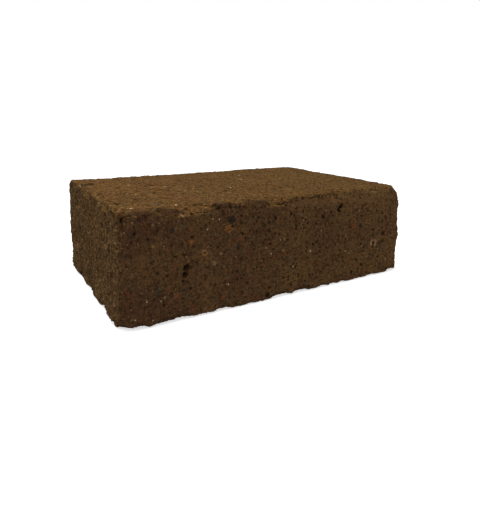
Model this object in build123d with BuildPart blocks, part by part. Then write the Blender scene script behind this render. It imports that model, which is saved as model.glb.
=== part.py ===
"""A sawn building block of brown lithoid tuff, with battered sides, hollowed split ends, worn arrises,
spalls, knocked corners and open vesicles.

Frame: X along the length, Y along the width from front to back, Z up. The origin is the middle of
the lower bed, on which the block lies.
"""

import os
from math import atan2, degrees

from build123d import *

# Driving sizes, in millimetres
length = 370.0  # of the lower bed, along X
width = 250.0  # of the lower bed, along Y
height = 110.0  # from the lower bed to the upper one
batter = 1.5  # how far each side leans in by the upper bed
upright_wear = 3.5  # radius worn on the four upright arrises
upper_wear = 3.0  # radius worn on the arrises round the upper bed
lower_wear = 2.5  # radius worn on the arrises round the lower bed

# The two faces across each axis, from its low end to its high end
faces_across = [("left", "right"), ("front", "back"), ("lower", "upper")]
outward = {
    "left": Vector(-1, 0, 0),
    "right": Vector(1, 0, 0),
    "front": Vector(0, -1, 0),
    "back": Vector(0, 1, 0),
    "lower": Vector(0, 0, -1),
    "upper": Vector(0, 0, 1),
}

# Spalls broken out of the arrises, under the two faces that meet there. Each has the share of the
# way along the arris to its middle, its length along the arris and its depth below the arris.
spalls = {
    ("front", "upper"): [
        (0.03, 24, 4.5),
        (0.15, 56, 6.5),
        (0.235, 28, 4.0),
        (0.36, 22, 2.8),
        (0.472, 30, 5.0),
        (0.655, 36, 3.0),
        (0.86, 44, 3.5),
    ],
    ("front", "lower"): [
        (0.05, 30, 5.0),
        (0.145, 50, 4.2),
        (0.17, 20, 6.2),
        (0.295, 20, 4.5),
        (0.49, 30, 5.2),
        (0.565, 24, 6.0),
        (0.65, 10, 4.0),
        (0.69, 14, 3.6),
        (0.73, 12, 3.6),
        (0.962, 24, 6.0),
    ],
    ("left", "lower"): [
        (0.13, 40, 3.0),
        (0.238, 32, 6.0),
        (0.485, 34, 3.4),
        (0.97, 24, 3.5),
    ],
    ("left", "upper"): [
        (0.26, 70, 4.0),
        (0.60, 80, 4.4),
        (0.86, 30, 4.0),
    ],
    ("left", "front"): [
        (0.20, 18, 3.0),
        (0.52, 30, 3.4),
        (0.86, 22, 4.6),
    ],
    ("right", "front"): [
        (0.15, 80, 7.5),
        (0.58, 56, 4.2),
        (0.93, 30, 5.5),
    ],
    ("right", "upper"): [
        (0.46, 30, 3.0),
        (0.71, 34, 3.5),
    ],
    ("right", "lower"): [
        (0.27, 36, 5.0),
        (0.71, 28, 4.5),
    ],
    ("right", "back"): [
        (0.40, 30, 5.0),
    ],
    ("left", "back"): [
        (0.14, 60, 5.5),
        (0.42, 50, 4.5),
    ],
    ("back", "upper"): [
        (0.38, 30, 3.0),
        (0.65, 20, 3.5),
        (0.89, 26, 3.0),
    ],
    ("back", "lower"): [
        (0.22, 40, 5.0),
        (0.57, 30, 4.5),
        (0.85, 34, 5.5),
    ],
}

# Corners knocked off flat, under the three faces that meet there, with the depth of the break
# below the corner.
knocked_corners = {
    ("right", "front", "upper"): 9.0,
    ("left", "front", "lower"): 11.0,
    ("left", "back", "lower"): 8.0,
    ("right", "back", "upper"): 8.5,
    ("left", "back", "upper"): 5.0,
    ("right", "back", "lower"): 9.0,
}

# Hollows that the splitting left in the two ends. Each has its two shares of the way across that end,
# from front to back and up, its width and its depth.
split_hollows = {
    "left": [
        (0.95, 0.22, 64, 4.0),
        (0.93, 0.68, 60, 3.0),
        (0.76, 0.44, 38, 2.4),
        (0.72, 0.84, 40, 2.4),
        (0.66, 0.12, 40, 2.4),
        (0.62, 0.48, 28, 1.8),
        (0.56, 0.82, 34, 2.0),
        (0.45, 0.16, 36, 2.2),
        (0.38, 0.86, 34, 2.2),
        (0.27, 0.40, 40, 2.6),
        (0.17, 0.78, 40, 2.4),
        (0.10, 0.24, 36, 2.2),
    ],
    "right": [
        (0.10, 0.68, 40, 2.4),
        (0.13, 0.20, 38, 2.4),
        (0.30, 0.68, 38, 2.4),
        (0.44, 0.16, 36, 2.2),
        (0.45, 0.86, 36, 2.2),
        (0.63, 0.28, 40, 2.6),
        (0.68, 0.76, 42, 2.6),
        (0.82, 0.46, 40, 2.4),
        (0.90, 0.82, 36, 2.2),
        (0.86, 0.13, 36, 2.2),
    ],
}

# Open vesicles, under the face that they show in. Each has its two shares of the way across that
# face, along the block's axes in order, and its diameter.
vesicles = {
    "front": [
        (0.186, 0.462, 6.5),
        (0.182, 0.405, 6.0),
        (0.722, 0.850, 5.5),
        (0.708, 0.815, 4.5),
        (0.910, 0.464, 5.5),
    ],
    "left": [
        (0.35, 0.62, 6.0),
    ],
    "upper": [
        (0.31, 0.22, 6.0),
    ],
    "back": [
        (0.20, 0.66, 7.0),
        (0.58, 0.33, 6.0),
    ],
    "right": [
        (0.28, 0.30, 6.5),
    ],
}


def out_between(faces):
    """The unit direction that points out of the block, evenly between faces that meet."""
    return sum((outward[face] for face in faces), Vector()).normalized()


def corner(*faces):
    """The unworn corner where three faces meet."""
    half_length = length / 2
    half_width = width / 2
    if "upper" in faces:
        half_length -= batter
        half_width -= batter
    return Vector(
        half_length if "right" in faces else -half_length,
        half_width if "back" in faces else -half_width,
        height if "upper" in faces else 0,
    )


def along_arris(arris, share):
    """The point a share of the way along the unworn arris between two faces."""
    low, high = next(pair for pair in faces_across if not set(pair) & set(arris))
    start = corner(low, *arris)
    end = corner(high, *arris)
    return start + (end - start) * share


def on_face(face, first_share, second_share):
    """The point on a face at its shares of the way along the two axes that it spans."""
    _, second_pair = [pair for pair in faces_across if face not in pair]
    start, end = (along_arris((face, side), first_share) for side in second_pair)
    return start + (end - start) * second_share


def scoop(middle, outwards, breadth, depth):
    """The ball that takes a shallow scoop of that breadth and depth out of the stone at a point."""
    radius = ((breadth / 2) ** 2 + depth**2) / (2 * depth)
    with Locations(middle + outwards * (radius - depth)):
        return Sphere(radius, mode=Mode.PRIVATE)


with BuildPart() as block:
    # The sawn stock rises from its lower bed, and all four sides lean in
    with BuildSketch():
        Rectangle(length, width)
    extrude(amount=height, taper=degrees(atan2(batter, height)))

    # Handling wears the upright arrises first, and then the ones round each bed
    fillet(block.edges().group_by(Axis.Z)[1], radius=upright_wear)
    fillet(block.faces().sort_by(Axis.Z)[-1].edges(), radius=upper_wear)
    fillet(block.faces().sort_by(Axis.Z)[0].edges(), radius=lower_wear)

    # Each knocked corner is a flat break square to the line between its three faces
    for faces, depth in knocked_corners.items():
        outwards = out_between(faces)
        break_plane = Plane(corner(*faces) - outwards * depth, z_dir=outwards)
        split(bisect_by=break_plane, keep=Keep.BOTTOM)

    # Spalls come off the arrises, and splitting hollows the ends
    scoops = []
    for arris, scars in spalls.items():
        for share, scar_length, scar_depth in scars:
            scoops.append(scoop(along_arris(arris, share), out_between(arris), scar_length, scar_depth))
    for face, hollows in split_hollows.items():
        for first_share, second_share, hollow_width, hollow_depth in hollows:
            middle = on_face(face, first_share, second_share)
            scoops.append(scoop(middle, outward[face], hollow_width, hollow_depth))
    add(scoops, mode=Mode.SUBTRACT)

    # A vesicle is a gas bubble that the saw cut through its middle
    bubbles = []
    for face, openings in vesicles.items():
        for first_share, second_share, diameter in openings:
            with Locations(Plane(on_face(face, first_share, second_share), z_dir=outward[face])):
                bubbles.append(Sphere(diameter / 2, mode=Mode.PRIVATE))
    add(bubbles, mode=Mode.SUBTRACT)

block.part.label = "tuff_block"
os.makedirs("parts", exist_ok=True)
export_step(block.part, "parts/tuff_block.step")
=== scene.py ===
"""Dresses the sawn block of brown tuff: its solid is weathered into crumbled, vesicular stone, and lies
on a pale floor under soft light.

Units are metres, in the block's own frame: X along the length, Y from front to back, Z up from the
lower bed.
"""

from math import cos, radians, sin
from types import SimpleNamespace

import bpy
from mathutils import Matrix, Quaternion, Vector


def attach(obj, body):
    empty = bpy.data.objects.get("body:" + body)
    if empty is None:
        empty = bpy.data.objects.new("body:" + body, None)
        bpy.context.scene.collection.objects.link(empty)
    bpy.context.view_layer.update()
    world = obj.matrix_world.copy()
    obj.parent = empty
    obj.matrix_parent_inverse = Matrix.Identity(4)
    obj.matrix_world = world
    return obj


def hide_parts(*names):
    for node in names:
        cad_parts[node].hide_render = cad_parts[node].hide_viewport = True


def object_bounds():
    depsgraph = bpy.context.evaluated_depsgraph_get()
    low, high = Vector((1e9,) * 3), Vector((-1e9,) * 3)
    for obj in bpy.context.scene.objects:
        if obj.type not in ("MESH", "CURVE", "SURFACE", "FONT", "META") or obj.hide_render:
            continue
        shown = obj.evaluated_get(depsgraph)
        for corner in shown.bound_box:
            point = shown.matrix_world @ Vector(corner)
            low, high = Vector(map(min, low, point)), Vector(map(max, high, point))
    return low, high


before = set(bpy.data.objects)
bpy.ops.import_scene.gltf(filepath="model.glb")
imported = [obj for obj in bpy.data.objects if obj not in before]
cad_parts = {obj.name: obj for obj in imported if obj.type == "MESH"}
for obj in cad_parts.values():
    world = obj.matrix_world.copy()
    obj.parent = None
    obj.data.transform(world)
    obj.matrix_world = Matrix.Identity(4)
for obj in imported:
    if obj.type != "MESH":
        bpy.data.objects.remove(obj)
cad_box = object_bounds()
bpy.context.scene.view_settings.view_transform = "Standard"

mm = 0.001

# The unworn block, which the relief and the colours are laid out on
half_length = cad_box[1].x
half_width = cad_box[1].y
height = cad_box[1].z
batter = 1.5 * mm

# The mesh of the worn stone
weld_distance = 0.001 * mm
voxel = 0.9 * mm
soft_steps = 4
triangles = 195_000

# Layers of relief, each of which takes stone away: its depth, the width of its lumps, their detail, and
# the noise levels between which it takes hold
relief = {
    "Wave": (1.2 * mm, 80 * mm, 2.0, 0.30, 0.70),
    "Bite": (5.5 * mm, 12 * mm, 3.0, 0.42, 0.62),
    "Split": (2.4 * mm, 5.5 * mm, 4.0, 0.30, 0.70),
    "Pit": (1.3 * mm, 3.8 * mm, 2.0, 0.42, 0.30),
    "Grain": (0.5 * mm, 2.6 * mm, 2.0, 0.30, 0.70),
}
lump_roughness = 0.6

# Ragged outlines wander by up to half of this shift each way, over this width
tear_shift = 2.0 * mm
tear_width = 2.6 * mm

# Crumbs and bites along the arrises, at their most within the width of the arris itself
arris_width = 1.0 * mm
crumble_reach = 11 * mm
crumb_depth = 2.6 * mm
crumb_width = 6.0 * mm
patch_width = 55 * mm

# The split ends fade out between these two depths below them
split_near = 6.0 * mm
split_far = 12.0 * mm

# The upper front arris is worn back along its right half, and broken down in two stretches, which are
# measured from the left end. Both are at their most within the lip of the arris.
arris_lip = 2.0 * mm
worn_back = 3.5 * mm
worn_height = 18 * mm
worn_width = 20 * mm
worn_begins = (-0.1 * half_length, 0.2 * half_length)
worn_ends = (0.97 * half_length, 0.85 * half_length)
broken_down = 5.0 * mm
broken_height = 9.0 * mm
broken_width = 24 * mm
broken_fade = 6.0 * mm
broken_stretches = [(62 * mm, 97 * mm), (164 * mm, 188 * mm)]

# Left of the middle, the rest of the upper bed's front edge has lost its dust and is darkened with painted
# shade, to an uneven reach
bare_shaded_least = 1.0 * mm
bare_shaded_most = 20 * mm
bare_shaded_width = 16 * mm
bare_shaded_blur = 1.5 * mm
bare_shaded_ends = (-0.05 * half_length, -0.15 * half_length)

# Pale stone shows on the broken stretches: partly dust, and partly painted light on the lumps, with
# painted shadow in the gaps between them. It fades out with the distance in from the front, and in
# between two heights.
break_light_whole = 8.0 * mm
break_light_reach = 14 * mm
break_light_heights = (0.86 * height, 0.93 * height)

# The lower left corner of the front is worn away along the length, at its most within its core
corner_loss = 3.0 * mm
corner_core = 8.0 * mm
corner_reach = 30 * mm

# Gas bubbles that the saw and the weather have opened
vesicle_spacing = 9.0 * mm
smallest_vesicle = 0.7 * mm
largest_vesicle = 1.8 * mm
vesicle_share = 0.85
deepest_vesicle = 2.8 * mm
vesicle_sizes = (vesicle_spacing, smallest_vesicle, largest_vesicle, vesicle_share)

# Pores that stand out in the front and the upper bed: the face, millimetres from the left end, up from
# the lower bed or in from the front, and radius
pores = [
    ("front", 69, 51, 3.2),
    ("front", 67, 44.5, 3.0),
    ("front", 64.5, 39, 1.7),
    ("front", 267, 92.5, 2.6),
    ("front", 262, 88.5, 2.2),
    ("front", 337, 51, 2.2),
    ("front", 250, 87, 1.8),
    ("front", 172, 89, 2.1),
    ("front", 186, 101, 1.5),
    ("front", 200, 96, 1.4),
    ("front", 299, 78, 1.6),
    ("front", 300, 87, 1.5),
    ("front", 327, 69, 1.5),
    ("front", 131, 77, 1.7),
    ("front", 156, 64, 1.4),
    ("front", 17, 91, 1.5),
    ("front", 74, 80, 1.5),
    ("front", 171, 72, 1.5),
    ("front", 216, 78, 1.5),
    ("front", 188, 63, 1.4),
    ("front", 6, 104, 1.7),
    ("upper", 85, 150, 3.8),
    ("upper", 39.5, 74.5, 3.8),
    ("upper", 38, 110, 3.6),
    ("upper", 16, 55, 3.2),
    ("upper", 70, 62, 3.2),
    ("upper", 159, 80, 3.4),
    ("upper", 196, 107, 3.6),
    ("upper", 205, 92, 3.2),
    ("upper", 218, 91, 3.2),
    ("upper", 148, 70, 2.0),
    ("upper", 105, 6, 2.4),
    ("upper", 118, 5, 2.2),
    ("upper", 123, 5, 2.0),
    ("upper", 128, 3, 2.0),
    ("upper", 40, 4, 2.6),
    ("upper", 42, 10, 2.6),
    ("upper", 44, 16, 2.2),
    ("upper", 56, 3, 2.6),
    ("upper", 59, 8, 2.6),
    ("upper", 62, 13, 2.2),
]
pore_depth = 2.2 * mm

# Clasts that stand out, and the painted shade of a groove, given in the same way: half width and half
# height, colour, and how strongly each shows
clasts = [
    ("front", 118, 93, 4.4, 4.2, "#2e2b26", 0.85),
    ("front", 115, 84, 5.0, 4.0, "#9c6a3c", 0.80),
    ("front", 320, 42, 5.6, 5.2, "#bc9674", 0.75),
    ("front", 320, 42, 2.7, 2.5, "#3a2018", 0.85),
    ("front", 319, 34, 1.8, 4.5, "#84482a", 0.60),
    ("front", 88, 63, 3.6, 3.2, "#a87c48", 0.85),
    ("front", 88, 63, 1.6, 1.4, "#4a3420", 0.75),
    ("front", 98, 51, 2.8, 2.4, "#a5825a", 0.75),
    ("front", 201, 18, 2.8, 2.4, "#94703c", 0.60),
    ("front", 39, 34, 4.8, 5.6, "#4c443a", 0.50),
    ("front", 126, 64, 2.8, 2.8, "#3a332a", 0.60),
    ("front", 285, 66, 3.4, 5.2, "#8a4c2c", 0.75),
    ("front", 297, 66, 2.4, 3.0, "#2c241c", 0.80),
    ("front", 206, 19, 2.6, 2.4, "#84482a", 0.65),
    ("front", 57, 26, 3.0, 2.8, "#8f5630", 0.65),
    ("front", 107, 14, 3.4, 2.8, "#8f5630", 0.75),
    ("front", 162, 7, 3.2, 2.6, "#2c241c", 0.90),
    ("front", 8, 37, 2.4, 2.4, "#6e3a26", 0.50),
    ("front", 128, 13, 2.4, 2.6, "#6e3a26", 0.65),
    ("front", 148, 6, 2.4, 2.2, "#6e3a26", 0.65),
    ("front", 173, 47, 2.2, 2.6, "#703420", 0.65),
    ("front", 163, 61, 2.0, 2.0, "#703420", 0.55),
    ("front", 191, 75, 2.0, 2.4, "#703420", 0.50),
    ("front", 139, 53, 2.6, 2.4, "#8a4c28", 0.60),
    ("front", 66, 102, 1.7, 1.5, "#b8946c", 0.80),
    ("front", 74, 76, 3.2, 2.0, "#9c6434", 0.75),
    ("front", 16, 91, 3.4, 4.6, "#3a3630", 0.45),
    ("front", 54, 90, 2.6, 2.4, "#343330", 0.65),
    ("upper", 13.5, 0, 4.8, 4.0, "#33302a", 0.75),
    ("upper", 79, 57, 6.0, 8.0, "#6e4a34", 0.50),
    ("upper", 52, 38, 4.0, 6.0, "#5c5248", 0.40),
    ("upper", 133, 91, 1.4, 5.0, "#7c4428", 0.70),
    # The painted shade of a groove in the upper bed, near the back by the left end
    ("upper", 11, 194, 6.0, 9.0, "#2e2218", 0.80),
    ("upper", 21, 199, 6.0, 9.0, "#2e2218", 0.80),
]

# Pale crystals that stand out, given as the pores are
crystals = [
    ("front", 97, 96, 0.8),
    ("front", 104, 95, 0.8),
    ("front", 91, 86, 0.8),
    ("front", 166, 51, 0.8),
    ("front", 182, 52, 0.8),
    ("front", 182, 59, 0.7),
    ("front", 160, 58, 0.7),
    ("front", 114, 27, 0.8),
    ("front", 28, 26, 0.8),
    ("front", 42, 24, 0.8),
    ("front", 17, 11, 0.8),
    ("front", 34, 7, 0.8),
    ("front", 342, 18, 0.8),
    ("front", 220, 46, 1.2),
    ("upper", 7, 191, 1.2),
    ("upper", 7, 102, 1.4),
    ("upper", 22.5, 29, 1.8),
    ("upper", 41, 106, 1.4),
    ("upper", 61, 166, 1.6),
    ("upper", 67, 25, 1.4),
    ("upper", 98, 137, 1.5),
    ("upper", 213, 147, 1.6),
    ("upper", 232, 185, 1.6),
    ("upper", 269, 132, 1.6),
    ("upper", 235, 94, 1.4),
    ("upper", 165, 90, 1.4),
]

# How deep the marks in each face reach below it
front_reach = 40 * mm
upper_reach = 9 * mm

# The widths of what the noise in the colours stands for, and the bump of grit too fine for the mesh
drift_width = 40 * mm
dust_width = 7.0 * mm
gap_width = 7.0 * mm
cluster_width = 26 * mm
bump_width = 1.6 * mm
bump_height = 1.2 * mm

# How softly the spots of each kind end
clast_edge = 0.5 * mm
grain_edge = 0.2 * mm
crumb_edge = 0.4 * mm
pit_edge = 0.3 * mm

# The studio: lengths in metres, power in watts, and shares of white
floor_half_size = 12.0
floor_bounce = (0.35, 0.34, 0.33, 1.0)
floor_glow = 0.62
lamp_length = 1.6
lamp_breadth = 1.4
lamp_power = 12.6
lamp_place = (-0.25, 0.05, 1.3)
surround_light = 0.46
white = (1.0, 1.0, 1.0, 1.0)

# The camera, as the photograph was taken: its frame and focal length in pixels, its place in metres, and
# its angles in degrees
photo_height = 507
focal_pixels = 455.4
principal_row = 149.6
camera_place = Vector((-289.9, -518.8, 200.0)) * mm
camera_heading = -30.33
camera_dip = 4.49
camera_roll = 0.56
sensor_millimetres = 36.0


def linear(hex_colour):
    """A colour written as sRGB hex, as the linear values that the nodes take."""
    shares = [int(hex_colour[i : i + 2], 16) / 255 for i in (1, 3, 5)]
    return (*(s / 12.92 if s <= 0.04045 else ((s + 0.055) / 1.055) ** 2.4 for s in shares), 1.0)


def add(tree, kind, *values, links=None, output=0, **settings):
    """Adds a node with its settings, fills its inputs in order or by name, and gives one output."""
    node = tree.nodes.new(kind)
    for name, value in settings.items():
        setattr(node, name, value)
    sockets = [socket for socket in node.inputs if socket.enabled]
    filled = list(zip(sockets, values))
    for name, value in (links or {}).items():
        filled.append((next(socket for socket in sockets if socket.name == name), value))
    for socket, value in filled:
        if isinstance(value, bpy.types.NodeSocket):
            tree.links.new(value, socket)
        else:
            socket.default_value = value
    if isinstance(output, str):
        return node.outputs[output]
    return [socket for socket in node.outputs if socket.enabled][output]


# Fields that shape the stone and colour it alike


def depths_below_faces(tree, place):
    """How deep a place lies below the unworn ends, sides and beds of the block."""
    x, y, z = add(tree, "ShaderNodeSeparateXYZ", place).node.outputs
    depths = []
    for across, half_size in ((x, half_length), (y, half_width)):
        reach = add(tree, "ShaderNodeMath", z, -batter / height, half_size, operation="MULTIPLY_ADD")
        off_centre = add(tree, "ShaderNodeMath", across, operation="ABSOLUTE")
        depths.append(add(tree, "ShaderNodeMath", reach, off_centre, operation="SUBTRACT"))
    below_upper_bed = add(tree, "ShaderNodeMath", height, z, operation="SUBTRACT")
    depths.append(add(tree, "ShaderNodeMath", z, below_upper_bed, operation="MINIMUM"))
    return depths


def near_arris(tree, place, reach):
    """One on the arrises, falling to nothing at that reach from them."""
    ends, sides, beds = depths_below_faces(tree, place)

    # The nearest arris to a place on the surface is as far as the middle one of its three depths
    nearer = add(tree, "ShaderNodeMath", ends, sides, operation="MINIMUM")
    farther = add(tree, "ShaderNodeMath", ends, sides, operation="MAXIMUM")
    with_beds = add(tree, "ShaderNodeMath", farther, beds, operation="MINIMUM")
    depth = add(tree, "ShaderNodeMath", nearer, with_beds, operation="MAXIMUM")
    limits = (arris_width, reach, 1.0, 0.0)
    return add(tree, "ShaderNodeMapRange", depth, *limits, interpolation_type="SMOOTHSTEP")


def on_split_end(tree, place, normal):
    """One on the two split ends of the block, where the surface faces along the length."""
    ends, _, _ = depths_below_faces(tree, place)
    near = add(tree, "ShaderNodeMapRange", ends, split_near, split_far, 1.0, 0.0)
    facing = add(tree, "ShaderNodeSeparateXYZ", normal, output="X")
    facing = add(tree, "ShaderNodeMath", facing, operation="ABSOLUTE")
    facing = add(tree, "ShaderNodeMapRange", facing, 0.45, 0.75, interpolation_type="SMOOTHSTEP")
    return add(tree, "ShaderNodeMath", near, facing, operation="MULTIPLY")


def on_broken_arris(tree, along):
    """One along the stretches of the upper front arris that have broken down."""
    broken = 0.0
    for start, end in broken_stretches:
        left, right = start - half_length, end - half_length
        begun = add(tree, "ShaderNodeMapRange", along, left - broken_fade, left + broken_fade)
        not_ended = add(tree, "ShaderNodeMapRange", along, right + broken_fade, right - broken_fade)
        stretch = add(tree, "ShaderNodeMath", begun, not_ended, operation="MULTIPLY")
        broken = add(tree, "ShaderNodeMath", stretch, broken, operation="MAXIMUM")
    return broken


def torn(tree, place):
    """The place, shifted a little every way, which gives clasts and holes a ragged outline."""
    shift = add(
        tree,
        "ShaderNodeTexNoise",
        links={"Vector": place, "Scale": 1 / tear_width, "Detail": 2.0},
        output="Color",
    )
    shift = add(tree, "ShaderNodeVectorMath", shift, (0.5, 0.5, 0.5), operation="SUBTRACT")
    shift = add(tree, "ShaderNodeVectorMath", shift, links={"Scale": tear_shift}, operation="SCALE")
    return add(tree, "ShaderNodeVectorMath", place, shift, operation="ADD")


def bubbles(tree, place, spacing, smallest, largest, share):
    """The centre and the radius of the bubble nearest to a place, where only a share of them exist."""
    cells = add(
        tree, "ShaderNodeTexVoronoi", links={"Vector": place, "Scale": 1 / spacing, "Randomness": 0.95}
    ).node
    chance = add(tree, "ShaderNodeSeparateXYZ", cells.outputs["Color"]).node
    radius = add(tree, "ShaderNodeMapRange", chance.outputs["X"], 0.0, 1.0, smallest, largest)
    exists = add(tree, "ShaderNodeMath", chance.outputs["Y"], share, operation="LESS_THAN")
    return cells.outputs["Position"], add(tree, "ShaderNodeMath", radius, exists, operation="MULTIPLY")


def from_mark(tree, place, face, along, across, half_along, half_across):
    """How far a place lies from the middle of a mark in a face, where one is the mark's edge."""
    if face == "front":
        centre = (along * mm - half_length, -half_width, across * mm)
        half_sizes = (half_along * mm, front_reach, half_across * mm)
    else:
        centre = (along * mm - half_length, across * mm - half_width, height)
        half_sizes = (half_along * mm, half_across * mm, upper_reach)
    offset = add(tree, "ShaderNodeVectorMath", place, centre, operation="SUBTRACT")
    scaled = add(tree, "ShaderNodeVectorMath", offset, half_sizes, operation="DIVIDE")
    return add(tree, "ShaderNodeVectorMath", scaled, operation="LENGTH", output="Value")


def from_nearest(tree, place, marks):
    """How far a place lies from the nearest of several round marks, where one is a mark's edge."""
    nearest = None
    for face, along, across, radius in marks:
        far = from_mark(tree, place, face, along, across, radius, radius)
        nearest = far if nearest is None else add(tree, "ShaderNodeMath", nearest, far, operation="MINIMUM")
    return nearest


# The shape of the worn stone


def worn_off(tree, given, stone):
    """How deep the weather has worn the stone: layers of relief, crumbs, and the pores that stand out."""
    # Handling breaks the arrises in patches, most of all at the front, above and to the left
    arris = near_arris(tree, stone.place, crumble_reach)
    patchy = add(tree, "ShaderNodeMapRange", stone.patches, 0.35, 0.65, 0.35, 1.0)
    above = add(tree, "ShaderNodeMapRange", stone.up, 0.2 * height, 0.8 * height, 0.25, 1.0)
    forward = add(tree, "ShaderNodeMapRange", stone.inwards, -0.8 * half_width, -0.4 * half_width, 1.0, 0.3)
    leftward = add(tree, "ShaderNodeMapRange", stone.along, 0.1 * half_length, 0.6 * half_length, 1.0, 0.5)
    exposed = add(tree, "ShaderNodeMath", above, forward, operation="MULTIPLY")
    exposed = add(tree, "ShaderNodeMath", exposed, leftward, operation="MULTIPLY")
    crumbling = add(tree, "ShaderNodeMath", arris, exposed, operation="MULTIPLY")
    where = {
        "Bite": add(tree, "ShaderNodeMath", crumbling, patchy, operation="MULTIPLY"),
        "Split": on_split_end(tree, stone.place, stone.normal),
        "Pit": add(tree, "ShaderNodeMath", 1.0, arris, operation="SUBTRACT"),
    }
    lost = 0.0
    for layer, (_, width, detail, start, end) in relief.items():
        sizes = {"Scale": 1 / width, "Detail": detail, "Roughness": lump_roughness}
        lumps = add(tree, "ShaderNodeTexNoise", links={"Vector": stone.place, **sizes})
        taken = add(tree, "ShaderNodeMapRange", lumps, start, end, interpolation_type="SMOOTHSTEP")
        taken = add(tree, "ShaderNodeMath", taken, where.get(layer, 1.0), operation="MULTIPLY")
        lost = add(tree, "ShaderNodeMath", taken, given[f"{layer} Depth"], lost, operation="MULTIPLY_ADD")

    # Crumbs come off the arrises one by one, each to its own depth
    cells = {"Vector": stone.ragged, "Scale": 1 / crumb_width}
    crumbs = add(tree, "ShaderNodeTexVoronoi", links=cells, output="Color")
    chance = add(tree, "ShaderNodeSeparateXYZ", crumbs, output="X")
    taken = add(tree, "ShaderNodeMapRange", chance, 0.3, 1.0)
    taken = add(tree, "ShaderNodeMath", taken, crumbling, operation="MULTIPLY")
    lost = add(tree, "ShaderNodeMath", taken, given["Crumb Depth"], lost, operation="MULTIPLY_ADD")

    from_pore = from_nearest(tree, stone.ragged, pores)
    taken = add(tree, "ShaderNodeMapRange", from_pore, 1.0, 0.4, interpolation_type="SMOOTHSTEP")
    return add(tree, "ShaderNodeMath", taken, given["Pore Depth"], lost, operation="MULTIPLY_ADD")


def broken_off(tree, given, stone):
    """How far a place has moved where a corner has gone and the upper front arris has worn and broken."""
    from_corner = add(
        tree,
        "ShaderNodeVectorMath",
        stone.place,
        (-half_length, -half_width, 0.0),
        operation="DISTANCE",
        output="Value",
    )
    lip = arris_lip - half_width

    # The corner moves along the length, the worn arris back, and the broken one down
    shifts = []
    for name, limits in (
        ("Corner Loss", [(from_corner, corner_reach, corner_core)]),
        (
            "Worn Back",
            [
                (stone.up, height - worn_height, height),
                (stone.inwards, worn_width - half_width, lip),
                (stone.along, *worn_begins),
                (stone.along, *worn_ends),
            ],
        ),
        (
            "Broken Down",
            [
                (stone.up, height - broken_height, height),
                (stone.inwards, broken_width - half_width, lip),
                (on_broken_arris(tree, stone.along), 0.0, 1.0),
                (stone.patches, 0.2, 0.45),
            ],
        ),
    ):
        shift = given[name]
        for across, start, end in limits:
            share = add(tree, "ShaderNodeMapRange", across, start, end, interpolation_type="SMOOTHSTEP")
            shift = add(tree, "ShaderNodeMath", shift, share, operation="MULTIPLY")
        shifts.append(shift)
    shifts = add(tree, "ShaderNodeCombineXYZ", *shifts)
    return add(tree, "ShaderNodeVectorMath", shifts, (1.0, 1.0, -1.0), operation="MULTIPLY")


def opened_vesicles(tree, given, stone, inward):
    """How far a place has sunk where the surface passes through a bubble, which opens to its far wall."""
    centre, radius = bubbles(tree, stone.ragged, *vesicle_sizes)
    to_centre = add(tree, "ShaderNodeVectorMath", centre, stone.ragged, operation="SUBTRACT")
    below = add(tree, "ShaderNodeVectorMath", to_centre, inward, operation="DOT_PRODUCT")
    away = add(tree, "ShaderNodeVectorMath", to_centre, to_centre, operation="DOT_PRODUCT")
    radius_squared = add(tree, "ShaderNodeMath", radius, radius, operation="MULTIPLY")
    inside = add(tree, "ShaderNodeMath", radius_squared, away, operation="SUBTRACT")
    is_inside = add(tree, "ShaderNodeMath", inside, 0.0, operation="GREATER_THAN")
    chord = add(tree, "ShaderNodeMath", below, below, inside, operation="MULTIPLY_ADD")
    half_chord = add(tree, "ShaderNodeMath", chord, operation="SQRT")
    far_wall = add(tree, "ShaderNodeMath", below, half_chord, operation="ADD")
    capped = add(tree, "ShaderNodeMath", far_wall, given["Vesicle Depth"], operation="MINIMUM")
    opened = add(tree, "ShaderNodeMath", capped, is_inside, operation="MULTIPLY")
    return add(tree, "ShaderNodeVectorMath", inward, links={"Scale": opened}, operation="SCALE")


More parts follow.
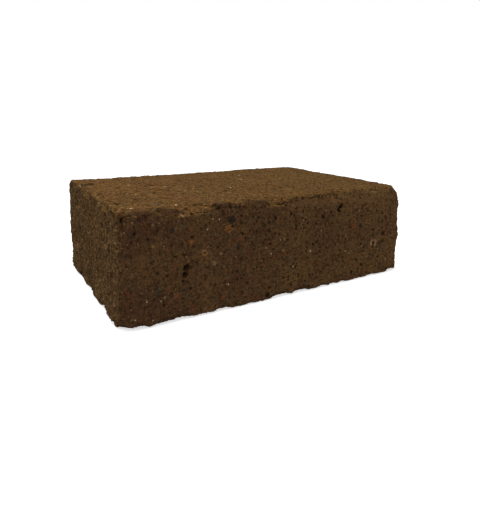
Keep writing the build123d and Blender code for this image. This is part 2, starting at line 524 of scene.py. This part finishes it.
def weathering_tree():
    """Geometry nodes that wear a solid down, and the depths that their inputs take."""
    tree = bpy.data.node_groups.new("weathering", "GeometryNodeTree")
    tree.interface.new_socket("Geometry", in_out="OUTPUT", socket_type="NodeSocketGeometry")
    tree.interface.new_socket("Geometry", in_out="INPUT", socket_type="NodeSocketGeometry")
    depths = {f"{layer} Depth": sizes[0] for layer, sizes in relief.items()}
    depths["Crumb Depth"] = crumb_depth
    depths["Worn Back"] = worn_back
    depths["Broken Down"] = broken_down
    depths["Corner Loss"] = corner_loss
    depths["Pore Depth"] = pore_depth
    depths["Vesicle Depth"] = deepest_vesicle
    for name in depths:
        tree.interface.new_socket(name, in_out="INPUT", socket_type="NodeSocketFloat")
    tree.interface.new_socket("Stone", in_out="INPUT", socket_type="NodeSocketMaterial")
    given = add(tree, "NodeGroupInput").node.outputs

    place = add(tree, "GeometryNodeInputPosition")
    along, inwards, up = add(tree, "ShaderNodeSeparateXYZ", place).node.outputs
    stone = SimpleNamespace(
        place=place,
        normal=add(tree, "GeometryNodeInputNormal"),
        along=along,
        inwards=inwards,
        up=up,
        ragged=torn(tree, place),
        patches=add(
            tree, "ShaderNodeTexNoise", links={"Vector": place, "Scale": 1 / patch_width, "Detail": 1.0}
        ),
    )

    # Wear has softened every break of the solid before the rest is taken away
    softened = add(
        tree,
        "GeometryNodeBlurAttribute",
        links={"Value": place, "Iterations": soft_steps},
        data_type="FLOAT_VECTOR",
    )
    block = add(tree, "GeometryNodeSetPosition", given["Geometry"], links={"Position": softened})
    inward = add(tree, "ShaderNodeVectorMath", stone.normal, (-1.0, -1.0, -1.0), operation="MULTIPLY")
    lost = worn_off(tree, given, stone)
    wear = add(tree, "ShaderNodeVectorMath", inward, links={"Scale": lost}, operation="SCALE")
    shifts = broken_off(tree, given, stone)
    wear = add(tree, "ShaderNodeVectorMath", wear, shifts, operation="ADD")
    block = add(tree, "GeometryNodeSetPosition", block, links={"Offset": wear})
    hollows = opened_vesicles(tree, given, stone, inward)
    block = add(tree, "GeometryNodeSetPosition", block, links={"Offset": hollows})

    block = add(tree, "GeometryNodeSetShadeSmooth", block)
    block = add(tree, "GeometryNodeRealizeInstances", block)
    block = add(tree, "GeometryNodeSetMaterial", block, links={"Material": given["Stone"]})
    tree.links.new(block, tree.nodes.new("NodeGroupOutput").inputs["Geometry"])
    return tree, depths


def weathered_block(material):
    """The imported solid, remeshed evenly, worn down and thinned to its share of triangles."""
    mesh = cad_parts["tuff_block"].data.copy()
    mesh.materials.clear()
    block = bpy.data.objects.new("weathered_tuff_block", mesh)
    bpy.context.scene.collection.objects.link(block)

    weld = block.modifiers.new("weld", "WELD")
    weld.merge_threshold = weld_distance
    even = block.modifiers.new("even", "REMESH")
    even.mode = "VOXEL"
    even.voxel_size = voxel
    tree, depths = weathering_tree()
    weathering = block.modifiers.new("weathering", "NODES")
    weathering.node_group = tree
    for item in tree.interface.items_tree:
        if item.in_out == "INPUT" and item.name in depths:
            weathering[item.identifier] = depths[item.name]
        if item.in_out == "INPUT" and item.name == "Stone":
            weathering[item.identifier] = material

    graph = bpy.context.evaluated_depsgraph_get()
    dense = bpy.data.meshes.new_from_object(block.evaluated_get(graph))
    block.modifiers.clear()
    block.data = dense
    dense.calc_loop_triangles()
    thin = block.modifiers.new("thin", "DECIMATE")
    thin.ratio = triangles / len(dense.loop_triangles)
    graph = bpy.context.evaluated_depsgraph_get()
    block.data = bpy.data.meshes.new_from_object(block.evaluated_get(graph))
    block.modifiers.clear()
    block.data.name = "weathered_tuff_block"
    return block


# The colours of the stone, layer on layer


def spots(tree, place, spacing, smallest, largest, share, edge, swell=1.0):
    """One inside round spots of the stone, falling to nothing over their edge, and the spots' centres."""
    centre, radius = bubbles(tree, place, spacing, smallest, largest, share)
    distance = add(tree, "ShaderNodeVectorMath", centre, place, operation="DISTANCE", output="Value")
    reach = add(tree, "ShaderNodeMath", radius, swell, operation="MULTIPLY")
    depth = add(tree, "ShaderNodeMath", reach, distance, operation="SUBTRACT")
    return add(tree, "ShaderNodeMapRange", depth, 0.0, edge), centre


def stone_fields(tree):
    """Where a place is on the block, and what kind of surface it has, for the layers of colour."""
    place = add(tree, "ShaderNodeTexCoord", output="Object")
    normal = add(tree, "ShaderNodeNewGeometry", output="Normal")
    along, inwards, up = add(tree, "ShaderNodeSeparateXYZ", place).node.outputs
    facing_up = add(tree, "ShaderNodeSeparateXYZ", normal, output="Z")
    facing_up = add(tree, "ShaderNodeMapRange", facing_up, 0.45, 0.95)
    split_ends = on_split_end(tree, place, normal)

    # The split ends and the upper bed are roughest, most of all at the left
    roughest = add(tree, "ShaderNodeMath", facing_up, split_ends, operation="MAXIMUM")
    leftward = add(tree, "ShaderNodeMapRange", along, -half_length, 0.0, 1.5, 1.0)
    return SimpleNamespace(
        place=place,
        along=along,
        inwards=inwards,
        up=up,
        ragged=torn(tree, place),
        facing_up=facing_up,
        split_ends=split_ends,
        roughest=add(tree, "ShaderNodeMath", roughest, leftward, operation="MULTIPLY"),
        broken=on_broken_arris(tree, along),
    )


def earthy_matrix(tree, stone):
    """The matrix, which drifts from dark brown at the left to olive at the right, and is paler at the
    split ends."""
    drift = add(
        tree, "ShaderNodeTexNoise", links={"Vector": stone.place, "Scale": 1 / drift_width, "Detail": 4.0}
    )
    drift = add(tree, "ShaderNodeMath", stone.along, 0.15 / half_length, drift, operation="MULTIPLY_ADD")
    tone = add(tree, "ShaderNodeMapRange", drift, 0.27, 0.67)
    colour = add(tree, "ShaderNodeMix", tone, linear("#644630"), linear("#795a38"), data_type="RGBA")
    on_ends = add(tree, "ShaderNodeMath", stone.split_ends, 0.5, operation="MULTIPLY")
    return add(tree, "ShaderNodeMix", on_ends, colour, linear("#705836"), data_type="RGBA")


def clasts_and_grains(tree, stone, colour):
    """Rusty, tan and dark clasts of three sizes, and small tan grains and white crystals."""
    clast_colours = ("#85502a", "#743c26", "#8d6c3c", "#a98a58", "#3c3935", "#4a3826", "#7c5230", "#665834")

    # Each set by spacing, radii, share and how strongly it shows
    for spacing, smallest, largest, share, strength in (
        (13.0 * mm, 1.4 * mm, 3.2 * mm, 0.35, 0.48),
        (6.0 * mm, 0.8 * mm, 1.9 * mm, 0.65, 0.55),
        (2.9 * mm, 0.4 * mm, 0.9 * mm, 0.60, 0.60),
    ):
        mask, centre = spots(tree, stone.ragged, spacing, smallest, largest, share, clast_edge)
        mask = add(tree, "ShaderNodeMath", mask, strength, operation="MULTIPLY")
        chance = add(tree, "ShaderNodeTexWhiteNoise", centre, output="Value")
        chosen = add(tree, "ShaderNodeValToRGB", chance, output="Color")
        ramp = chosen.node.color_ramp
        ramp.interpolation = "CONSTANT"
        for i, hex_colour in enumerate(clast_colours):
            stop = ramp.elements[i] if i < 2 else ramp.elements.new(i / len(clast_colours))
            stop.position = i / len(clast_colours)
            stop.color = linear(hex_colour)
        colour = add(tree, "ShaderNodeMix", mask, colour, chosen, data_type="RGBA")
    for spacing, smallest, largest, share, hex_colour in (
        (3.2 * mm, 0.40 * mm, 0.95 * mm, 0.65, "#a08050"),
        (6.5 * mm, 0.35 * mm, 0.75 * mm, 0.22, "#c8b48e"),
    ):
        grain, _ = spots(tree, stone.ragged, spacing, smallest, largest, share, grain_edge)
        colour = add(tree, "ShaderNodeMix", grain, colour, linear(hex_colour), data_type="RGBA")
    return colour


def settled_dust(tree, stone, colour):
    """Ochre dust in patches on what faces up, darker towards the right."""
    patches = add(
        tree, "ShaderNodeTexNoise", links={"Vector": stone.place, "Scale": 1 / dust_width, "Detail": 3.0}
    )
    dust = add(tree, "ShaderNodeMapRange", patches, 0.3, 0.7, 0.5, 0.75)
    dust = add(tree, "ShaderNodeMath", dust, stone.facing_up, operation="MULTIPLY")
    rightward = add(tree, "ShaderNodeMapRange", stone.along, -half_length, half_length)
    ochre = add(tree, "ShaderNodeMix", rightward, linear("#765426"), linear("#5f4319"), data_type="RGBA")
    return add(tree, "ShaderNodeMix", dust, colour, ochre, data_type="RGBA")


def bare_edge_with_painted_shade(tree, stone, colour):
    """The front edge of the upper bed, where no dust has stayed beside the breaks, and darkened further
    with painted shade.
    """
    uneven = add(
        tree, "ShaderNodeTexNoise", links={"Vector": stone.place, "Scale": 1 / bare_shaded_width, "Detail": 2.0}
    )
    reach = add(tree, "ShaderNodeMapRange", uneven, 0.35, 0.65, bare_shaded_least, bare_shaded_most)
    beyond = add(tree, "ShaderNodeMath", stone.inwards, reach, operation="SUBTRACT")
    limits = (bare_shaded_blur - half_width, -bare_shaded_blur - half_width, 0.0, 0.85)
    bare_and_shaded = add(tree, "ShaderNodeMapRange", beyond, *limits)
    for across, start, end in ((stone.broken, 1.0, 0.0), (stone.along, *bare_shaded_ends)):
        share = add(tree, "ShaderNodeMapRange", across, start, end)
        bare_and_shaded = add(tree, "ShaderNodeMath", bare_and_shaded, share, operation="MULTIPLY")
    bare_and_shaded = add(tree, "ShaderNodeMath", bare_and_shaded, stone.facing_up, operation="MULTIPLY")
    # Painted shade, darker than the stone without dust, which also covers the dust
    return add(tree, "ShaderNodeMix", bare_and_shaded, colour, linear("#46301d"), data_type="RGBA")


def pale_crumbs(tree, stone, colour):
    """Pale crumbs that the roughest faces hold."""
    spacing, smallest, largest, share = 6.0 * mm, 0.6 * mm, 1.6 * mm, 0.60
    crumbs, _ = spots(tree, stone.ragged, spacing, smallest, largest, share, crumb_edge)
    crumbs = add(tree, "ShaderNodeMath", crumbs, stone.roughest, operation="MULTIPLY")
    crumbs = add(tree, "ShaderNodeMath", crumbs, 0.45, operation="MULTIPLY")
    return add(tree, "ShaderNodeMix", crumbs, colour, linear("#a07c48"), data_type="RGBA")


def faint_stains(tree, stone, colour):
    """Rusty, olive and grey stains."""
    for width, start, hex_colour, strength in (
        (8.0 * mm, 0.52, "#7a4a28", 0.25),
        (6.5 * mm, 0.52, "#5f5636", 0.35),
        (11.0 * mm, 0.55, "#54483c", 0.30),
    ):
        stain = add(
            tree, "ShaderNodeTexNoise", links={"Vector": stone.place, "Scale": 1 / width, "Detail": 4.0}
        )
        mask = add(tree, "ShaderNodeMapRange", stain, start, start + 0.15, 0.0, strength)
        colour = add(tree, "ShaderNodeMix", mask, colour, linear(hex_colour), data_type="RGBA")
    return colour


def pale_breaks_with_painted_light_and_shade(tree, stone, colour):
    """Pale stone where the upper front arris has broken down, partly dust and partly painted light on
    the lumps, with painted shadow in the gaps between them.
    """
    break_light_and_shade = near_arris(tree, stone.place, break_light_reach)
    for across, start, end, most in (
        (stone.up, *break_light_heights, 0.5),
        (stone.inwards, break_light_reach - half_width, break_light_whole - half_width, 1.0),
        (stone.broken, 0.0, 1.0, 1.0),
    ):
        share = add(tree, "ShaderNodeMapRange", across, start, end, 0.0, most)
        break_light_and_shade = add(tree, "ShaderNodeMath", break_light_and_shade, share, operation="MULTIPLY")
    # The pale colour is partly dust and partly painted light on the lumps
    colour = add(tree, "ShaderNodeMix", break_light_and_shade, colour, linear("#94703e"), data_type="RGBA")
    # Painted shadow in the gaps between the lumps
    sizes = {"Scale": 1 / gap_width, "Detail": 2.0, "Roughness": lump_roughness}
    gaps = add(tree, "ShaderNodeTexNoise", links={"Vector": stone.ragged, **sizes})
    shade = add(tree, "ShaderNodeMapRange", gaps, 0.40, 0.33, 0.0, -1.2, interpolation_type="SMOOTHSTEP")
    shade = add(tree, "ShaderNodeMath", shade, break_light_and_shade, 1.0, operation="MULTIPLY_ADD")
    return add(tree, "ShaderNodeVectorMath", colour, links={"Scale": shade}, operation="SCALE")


def marks_that_stand_out(tree, stone, colour):
    """The clasts and crystals that are placed one by one, and the painted shade of a groove."""
    for face, along, across, half_along, half_across, hex_colour, strength in clasts:
        far = from_mark(tree, stone.ragged, face, along, across, half_along, half_across)
        mask = add(tree, "ShaderNodeMapRange", far, 1.15, 0.75, 0.0, strength)
        colour = add(tree, "ShaderNodeMix", mask, colour, linear(hex_colour), data_type="RGBA")
    far = from_nearest(tree, stone.place, crystals)
    mask = add(tree, "ShaderNodeMapRange", far, 1.2, 0.7, 0.0, 0.9)
    return add(tree, "ShaderNodeMix", mask, colour, linear("#dcc49c"), data_type="RGBA")


def light_and_dark_grit(tree, stone, colour):
    """Grit of four widths, each with its contrast, and how much more it has on the roughest faces."""
    for width, contrast, more in (
        (9.0 * mm, 0.07, 0.05),
        (4.6 * mm, 0.08, 0.26),
        (2.4 * mm, 0.18, 0.16),
        (1.4 * mm, 0.44, 0.14),
    ):
        sizes = {"Scale": 1 / width, "Detail": 2.0, "Roughness": lump_roughness}
        grit = add(tree, "ShaderNodeTexNoise", links={"Vector": stone.place, **sizes})
        strength = add(tree, "ShaderNodeMath", stone.roughest, more, contrast, operation="MULTIPLY_ADD")
        signed = add(tree, "ShaderNodeMapRange", grit, 0.3, 0.7, -1.0, 1.0)
        shade = add(tree, "ShaderNodeMath", signed, strength, 1.0, operation="MULTIPLY_ADD")
        colour = add(tree, "ShaderNodeVectorMath", colour, links={"Scale": shade}, operation="SCALE")
    return colour


def painted_light_and_shade_on_split_ends(tree, stone, colour):
    """Painted shade in the hollows of the split ends' relief, and painted light on its ridges."""
    _, width, detail, _, _ = relief["Split"]
    sizes = {"Scale": 1 / width, "Detail": detail, "Roughness": lump_roughness}
    hollows = add(tree, "ShaderNodeTexNoise", links={"Vector": stone.place, **sizes})
    # Painted shade in the hollows and painted light on the ridges
    shade = add(tree, "ShaderNodeMapRange", hollows, 0.35, 0.65, 0.12, -0.14)
    shade = add(tree, "ShaderNodeMath", shade, stone.split_ends, 1.0, operation="MULTIPLY_ADD")
    return add(tree, "ShaderNodeVectorMath", colour, links={"Scale": shade}, operation="SCALE")


def painted_shade_in_pits(tree, stone, colour):
    """Painted shade in the pits, from the pores that stand out down to pin holes that are only drawn."""
    # They gather in clusters, and are fainter at the left
    clusters = add(
        tree, "ShaderNodeTexNoise", links={"Vector": stone.place, "Scale": 1 / cluster_width, "Detail": 1.0}
    )
    clusters = add(tree, "ShaderNodeMapRange", clusters, 0.38, 0.62, 0.45, 1.1)
    calm = add(tree, "ShaderNodeMapRange", stone.along, -half_length, 0.1 * half_length, 0.5, 1.0)
    gathered = add(tree, "ShaderNodeMath", calm, clusters, operation="MULTIPLY")
    slits = add(tree, "ShaderNodeMath", stone.roughest, clusters, operation="MULTIPLY")

    # Painted shade in the relief's pits, which the mesh has, and in finer pits that are only drawn
    _, pit_width, _, pit_start, pit_end = relief["Pit"]
    for width, start, end, dark in (
        (pit_width, pit_start, pit_end, 0.40),
        (2.4 * mm, 0.40, 0.30, 0.6),
    ):
        sizes = {"Scale": 1 / width, "Detail": 2.0, "Roughness": lump_roughness}
        lumps = add(tree, "ShaderNodeTexNoise", links={"Vector": stone.place, **sizes})
        limits = (start, end, 0.0, -dark)
        hole = add(tree, "ShaderNodeMapRange", lumps, *limits, interpolation_type="SMOOTHSTEP")
        shade = add(tree, "ShaderNodeMath", hole, calm, 1.0, operation="MULTIPLY_ADD")
        colour = add(tree, "ShaderNodeVectorMath", colour, links={"Scale": shade}, operation="SCALE")
    # Painted shade in the mesh's opened vesicles, and in round pits that are only drawn
    for spacing, smallest, largest, share, dark, where in (
        (*vesicle_sizes, 0.65, calm),
        (14.0 * mm, 1.6 * mm, 3.6 * mm, 0.70, 0.52, slits),
        (5.0 * mm, 0.8 * mm, 1.8 * mm, 0.75, 0.68, gathered),
        (3.2 * mm, 0.35 * mm, 0.95 * mm, 0.7, 0.72, gathered),
        (2.1 * mm, 0.2 * mm, 0.55 * mm, 0.7, 0.6, calm),
    ):
        hole, _ = spots(tree, stone.ragged, spacing, smallest, largest, share, pit_edge, swell=1.1)
        hole = add(tree, "ShaderNodeMath", hole, -dark, operation="MULTIPLY")
        shade = add(tree, "ShaderNodeMath", hole, where, 1.0, operation="MULTIPLY_ADD")
        colour = add(tree, "ShaderNodeVectorMath", colour, links={"Scale": shade}, operation="SCALE")
    # Painted shade inside the pores that stand out in the mesh
    from_pore = from_nearest(tree, stone.ragged, pores)
    shade = add(tree, "ShaderNodeMapRange", from_pore, 1.25, 0.6, 1.0, 0.26)
    return add(tree, "ShaderNodeVectorMath", colour, links={"Scale": shade}, operation="SCALE")


def brown_tuff():
    """Brown lithoid tuff, sawn and weathered: matt, gritty and porous, its earthy matrix speckled with
    rusty and tan clasts, dark lithic grains and white crystals."""
    material = bpy.data.materials.new("sawn_brown_tuff")
    material.use_nodes = True
    tree = material.node_tree
    shader = tree.nodes["Principled BSDF"]
    shader.inputs["Roughness"].default_value = 0.95
    shader.inputs["Diffuse Roughness"].default_value = 0.8
    shader.inputs["Specular IOR Level"].default_value = 0.04

    stone = stone_fields(tree)
    colour = earthy_matrix(tree, stone)
    for layer in (
        clasts_and_grains,
        settled_dust,
        bare_edge_with_painted_shade,
        pale_crumbs,
        faint_stains,
        pale_breaks_with_painted_light_and_shade,
        marks_that_stand_out,
        light_and_dark_grit,
        painted_light_and_shade_on_split_ends,
        painted_shade_in_pits,
    ):
        colour = layer(tree, stone, colour)
    tree.links.new(colour, shader.inputs["Base Color"])

    # Grit too fine for the mesh is left to the bump
    sizes = {"Scale": 1 / bump_width, "Detail": 3.0, "Roughness": lump_roughness}
    fine = add(tree, "ShaderNodeTexNoise", links={"Vector": stone.place, **sizes})
    bump = add(tree, "ShaderNodeBump", links={"Height": fine, "Distance": bump_height, "Strength": 1.0})
    tree.links.new(bump, shader.inputs["Normal"])
    return material


# The studio


def seen_directly(tree):
    """One for what the camera sees, also in a mirror or through glass."""
    rays = add(tree, "ShaderNodeLightPath").node.outputs
    seen = add(tree, "ShaderNodeMath", rays["Is Camera Ray"], rays["Is Glossy Ray"], operation="MAXIMUM")
    return add(tree, "ShaderNodeMath", seen, rays["Is Transmission Ray"], operation="MAXIMUM")


def pale_floor():
    """A wide pale floor that shows white and keeps the block's shadow."""
    mesh = bpy.data.meshes.new("floor")
    signs = ((-1, -1), (1, -1), (1, 1), (-1, 1))
    corners = [(x * floor_half_size, y * floor_half_size, 0.0) for x, y in signs]
    mesh.from_pydata(corners, [], [(0, 1, 2, 3)])
    floor = bpy.data.objects.new("floor", mesh)
    bpy.context.scene.collection.objects.link(floor)

    # Only the camera sees it white: the light that it sends back to the block is that of a grey floor
    material = bpy.data.materials.new("pale_floor")
    material.use_nodes = True
    tree = material.node_tree
    tree.nodes.remove(tree.nodes["Principled BSDF"])
    seen = seen_directly(tree)
    bounced = add(tree, "ShaderNodeBsdfDiffuse", floor_bounce)
    lit = add(tree, "ShaderNodeBsdfDiffuse", white)
    glow = add(tree, "ShaderNodeEmission", white, floor_glow)
    bright = add(tree, "ShaderNodeAddShader", lit, glow)
    surface = add(tree, "ShaderNodeMixShader", seen, bounced, bright)
    tree.links.new(surface, tree.nodes["Material Output"].inputs["Surface"])
    mesh.materials.append(material)


def soft_light():
    """A broad lamp overhead, and an even white surround that lights the sides."""
    lamp_data = bpy.data.lights.new("overhead_softbox", "AREA")
    lamp_data.shape = "RECTANGLE"
    lamp_data.size = lamp_length
    lamp_data.size_y = lamp_breadth
    lamp_data.energy = lamp_power
    lamp = bpy.data.objects.new("overhead_softbox", lamp_data)
    lamp.location = lamp_place
    bpy.context.scene.collection.objects.link(lamp)

    world = bpy.data.worlds.new("surround")
    world.use_nodes = True
    bpy.context.scene.world = world
    tree = world.node_tree
    seen = seen_directly(tree)
    level = add(tree, "ShaderNodeMapRange", seen, 0.0, 1.0, surround_light, 1.0)
    background = tree.nodes["Background"]
    background.inputs["Color"].default_value = white
    tree.links.new(level, background.inputs["Strength"])


def portrait_camera():
    """The camera where the photograph was taken from, with the photograph's frame."""
    data = bpy.data.cameras.new("portrait")
    data.sensor_width = sensor_millimetres
    data.lens = focal_pixels / photo_height * sensor_millimetres
    data.shift_y = (principal_row - photo_height / 2) / photo_height
    camera = bpy.data.objects.new("portrait", data)
    heading, dip = radians(camera_heading), radians(camera_dip)
    forward = Vector((-sin(heading) * cos(dip), cos(heading) * cos(dip), -sin(dip)))
    camera.location = camera_place
    level = forward.to_track_quat("-Z", "Y")
    camera.rotation_euler = (level @ Quaternion((0, 0, 1), radians(camera_roll))).to_euler()
    bpy.context.scene.collection.objects.link(camera)
    bpy.context.scene.camera = camera


portrait_camera()
soft_light()
pale_floor()
block = weathered_block(brown_tuff())
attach(block, "root")
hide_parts("tuff_block")
